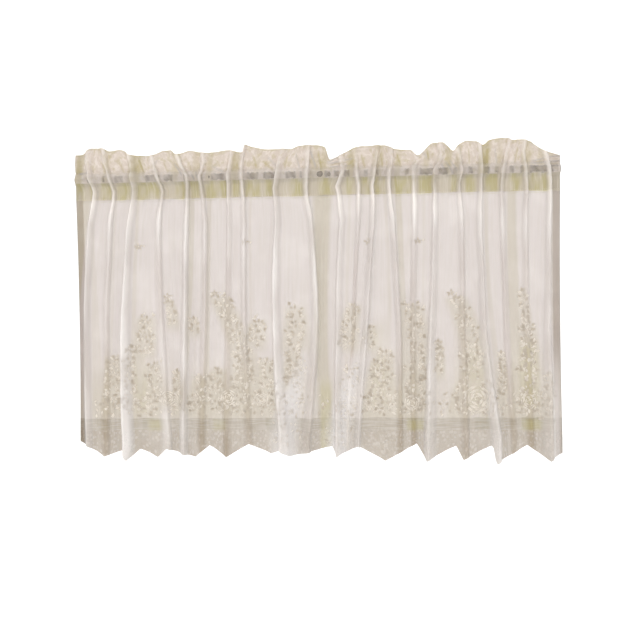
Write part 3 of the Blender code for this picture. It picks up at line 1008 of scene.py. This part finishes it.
def lace_colour(s, height, flat):
    """Where the pointed lace edge is, its flecked colour and its small holes."""
    zone = s.fade(height, WOVEN_FOOT + 0.001, WOVEN_FOOT - 0.001)
    flecks = s.add("TexVoronoi", Vector=flat, Scale=130.0)
    light = s.fade(flecks.outputs["Distance"], 0.5, 0.2)
    cells = s.add("TexVoronoi", {"feature": "DISTANCE_TO_EDGE"}, Vector=flat, Scale=290.0)
    hole = s.fade(cells.outputs["Distance"], 0.05, 0.3)
    colour = s.mixed(light, LACE, WHITE, 0.2)
    return zone, colour, s.times(hole, s.math("SUBTRACT", 1.0, light))


def woven_colour(s, height, dark, flat):
    """Where the woven band is over the lace edge, and its colour."""
    under_top = s.fade(height, WOVEN_TOP + 0.001, WOVEN_TOP - 0.001)
    zone = s.times(under_top, s.fade(height, WOVEN_FOOT - 0.001, WOVEN_FOOT + 0.001))
    rows = s.fade(s.noise(s.stretched(flat, 420.0, 25.0), 1.0, 2.0), 0.4, 0.65)
    shade = s.mixed(dark, WOVEN, WOVEN_SHADE)
    return zone, s.mixed(rows, shade, WHITE, 0.18)


def sheer_material():
    """Sheer lace: fine threads, a denser woven band and a lace edge, thin enough to see the rod through."""
    s = Shader("sheer_lace")
    spot = s.spot()
    height = s.add("SeparateXYZ", Vector=spot).outputs["Z"]
    flat = s.add("UVMap", {"uv_map": "flat_cloth"}).outputs["UV"]
    white, beige, olive = s.channels("tone")
    dense, window, dark = s.channels("cover")

    # Threads: 0.9 mm apart across the cloth, with slubs some centimetres long
    threads = s.add("TexWave", {"bands_direction": "X"}, Vector=flat, Scale=350.0, Distortion=1.0)
    threads = threads.outputs["Fac"]
    slubs = s.noise(s.stretched(flat, 9.0, 210.0), 1.0, 3.0, 0.6)
    patches = s.noise(flat, 14.0, 2.0)

    header_zone, header = header_colour(s, height, flat, olive)
    band_zone, band = band_colour(s, height, flat, olive)
    lace_zone, lace, hole = lace_colour(s, height, flat)
    woven_zone, woven = woven_colour(s, height, dark, flat)
    straw_zone = s.times(olive, s.fade(height, BAND_FOOT - 0.001, BAND_FOOT - 0.004))
    # Fold crests: denser cloth with a painted highlight, whiter higher up
    crest = s.mixed(s.fade(height, -0.11, -0.03), FOLD_WHITE, WHITE)
    colour = s.layered(
        s.mixed(beige, BODY, BEIGE),
        (s.fade(slubs, 0.35, 0.75), BEIGE, 0.28),
        (header_zone, header, 1.0),
        (band_zone, band, 0.95),
        (lace_zone, lace, 0.85),
        (woven_zone, woven, 0.85),
        (straw_zone, STRAW, 0.8),
        # The tone's white: crests with a painted highlight, painted highlights on the header's wrinkles,
        # painted light at the right end
        (white, s.mixed(s.fade(dense, 0.0, 0.7), PALE, crest), 1.0),
        (s.fade(patches, 0.45, 0.8), WHITE, 0.15),
    )

    # How much covers what is behind: least where the pocket shows the rod
    lace_holes = s.times(hole, s.math("MAXIMUM", lace_zone, s.times(header_zone, 0.25)))
    slanting = s.mapped(spot, Rotation=(0, math.radians(35), 0))
    uneven = s.noise(s.mapped(slanting, Scale=(90, 1, 45)), 1.0, 1.0)
    frayed = s.math("ADD", height, s.scaled(s.noise(flat, 160.0, 3.0), 0.008, -0.004))
    pocket = s.times(s.fade(frayed, -0.0082, -0.0045), s.fade(frayed, 0.0080, 0.0040))
    see_rod = s.times(s.times(window, pocket), s.fade(dense, 0.75, 0.3))
    see_rod = s.times(see_rod, s.scaled(s.fade(uneven, 0.3, 0.7), 0.3, 0.2))
    alpha = s.math("SUBTRACT", s.scaled(dense, 0.12, 0.86), see_rod)
    alpha = s.math("SUBTRACT", alpha, s.times(lace_holes, 0.12))
    alpha = s.math("SUBTRACT", alpha, s.scaled(threads, 0.06, -0.03), clamp=True)

    relief = s.math("ADD", s.times(threads, 0.35), s.times(slubs, 0.9))
    relief = s.math("SUBTRACT", relief, s.times(lace_holes, 1.2))
    bump = s.bump(0.35, 0.0006, relief)
    sheen = {"Sheen_Weight": 0.15, "Sheen_Roughness": 0.5}
    cloth = s.principled(colour, 0.85, Normal=bump, Specular_IOR_Level=0.2, **sheen)
    lit = s.lit_through(cloth, colour, bump, CLOTH_LIGHT_THROUGH)
    clear = s.add("BsdfTransparent").outputs[0]
    return s.finished(s.add("MixShader", i0=alpha, i1=clear, i2=lit).outputs[0])


def lace_thread_material():
    """Dense lace thread of the motifs: tan or pale as a piece says, a greyish white on the folds' white
    crests, which carries their painted highlight, softly uneven.
    """
    s = Shader("lace_thread")
    spot = s.spot()
    pale, white, _ = s.channels("pale")
    patches = s.scaled(s.noise(spot, 45.0, 2.0), 0.8, -0.4)
    colour = s.mixed(s.math("ADD", pale, patches, clamp=True), LEAF_TAN, LEAF_PALE)
    # On the crests the motifs take on the cloth's painted highlight
    colour = s.mixed(white, colour, LEAF_ON_WHITE, 0.9)
    bump = s.bump(0.3, 0.0003, s.noise(spot, 700.0, 2.0))
    body = s.principled(colour, 0.85, Normal=bump, Specular_IOR_Level=0.2)
    return s.finished(s.lit_through(body, colour, bump, LEAF_LIGHT_THROUGH))


def stitch_material():
    """Pale sewing thread, twisted."""
    s = Shader("stitch_thread")
    twist = s.add("TexWave", {"bands_direction": "DIAGONAL"}, Vector=s.spot(), Scale=500.0).outputs["Fac"]
    return s.finished(s.principled(s.mixed(twist, THREAD, HEADER), 0.8, Normal=s.bump(0.4, 0.0002, twist)))


def rod_material():
    """Satin grey-brown paint on the rod, a little uneven and worn along it."""
    s = Shader("rod_paint")
    spot = s.spot()
    rubbed = s.noise(spot, 400.0, 4.0)
    colour = s.mixed(s.fade(s.noise(spot, 90.0, 3.0), 0.35, 0.7), ROD_DARK, ROD_LIGHT)
    bump = s.bump(0.15, 0.0002, rubbed)
    return s.finished(s.principled(colour, s.scaled(rubbed, 0.2, 0.32), Normal=bump, Metallic=0.25))


FLOOR = -0.95
BACKDROP_Y = 3.4
BEND_RADIUS = 0.7


def studio_backdrop():
    """A pale floor that curves up into a wall behind."""
    profile = [(-3.0, FLOOR), (BACKDROP_Y - BEND_RADIUS, FLOOR)]
    for k in range(1, 13):
        angle = math.pi / 2 * k / 12
        y = BACKDROP_Y - BEND_RADIUS + BEND_RADIUS * math.sin(angle)
        profile.append((y, FLOOR + BEND_RADIUS * (1 - math.cos(angle))))
    profile.append((BACKDROP_Y, 2.6))
    points = [(x, y, z) for x in (-4.0, 4.0) for y, z in profile]
    count = len(profile)
    faces = [(k, k + 1, count + k + 1, count + k) for k in range(count - 1)]
    s = Shader("studio_paper")
    colour = s.mixed(s.noise(s.spot(), 3.0), linear(250, 250, 250), linear(253, 253, 253))
    paper = s.finished(s.principled(colour, 0.9))
    new_mesh("studio_backdrop", points, faces, paper)


def look_from(place, target):
    """The turn that points a light or a camera at the target."""
    return (Vector(target) - Vector(place)).to_track_quat("-Z", "Y")


def area_light(name, place, target, size, power):
    """A square soft light that points at the target."""
    light = bpy.data.lights.new(name, "AREA")
    light.energy = power
    light.size = size
    lamp = in_scene(name, light)
    lamp.location = place
    lamp.rotation_euler = look_from(place, target).to_euler()


def studio():
    """Backdrop, lights and the world's even light."""
    studio_backdrop()
    area_light("key_light", (-1.5, -2.9, 1.3), (0, 0, -0.25), 2.0, 38)
    area_light("fill_light", (1.9, -2.6, 0.6), (0, 0, -0.25), 2.4, 17)
    area_light("backdrop_light", (0, 1.9, 3.2), (0, BACKDROP_Y, -0.4), 3.0, 110)
    world = bpy.data.worlds.new("studio_world")
    world.use_nodes = True
    world.node_tree.nodes["Background"].inputs["Color"].default_value = (1, 1, 1, 1)
    world.node_tree.nodes["Background"].inputs["Strength"].default_value = 0.69
    bpy.context.scene.world = world
    bpy.context.scene.view_settings.view_transform = "Standard"


CAMERA_DISTANCE = 1.8
CAMERA_TURN = math.radians(5.5)  # towards the cloth's right end
CAMERA_HEIGHT = -0.2495
CAMERA_TARGET = (0.0107, 0, -0.2732)
TILT = math.radians(0.73)
SENSOR = 36.0
PHOTO_PIXELS = 640
FOCAL_PIXELS = 957


def camera():
    """The photograph's view: a little from the right, level with the middle of the cloth."""
    lens_data = bpy.data.cameras.new("camera")
    lens_data.sensor_width = SENSOR
    lens_data.lens = FOCAL_PIXELS / PHOTO_PIXELS * SENSOR
    eye = in_scene("camera", lens_data)
    aside, ahead = CAMERA_DISTANCE * math.sin(CAMERA_TURN), CAMERA_DISTANCE * math.cos(CAMERA_TURN)
    eye.location = (aside, -ahead, CAMERA_HEIGHT)
    look = look_from((aside, -ahead, CAMERA_HEIGHT), CAMERA_TARGET)
    eye.rotation_euler = (look @ Quaternion((0, 0, 1), -TILT)).to_euler()
    bpy.context.scene.camera = eye


camera()
studio()

cloth = sheet_points()
front_layer = ClothFront(cloth)
cloth_sheet = valance_sheet(cloth, sheer_material())
motif_mesh = lace_motifs(front_layer, lace_thread_material())
stitch_mesh = stitching(front_layer, stitch_material())
for piece in (cloth_sheet, motif_mesh, stitch_mesh):
    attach(piece, "root")
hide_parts("valance_cloth")

rod_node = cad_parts["rod"]
rod_node.data.materials.clear()
rod_node.data.materials.append(rod_material())
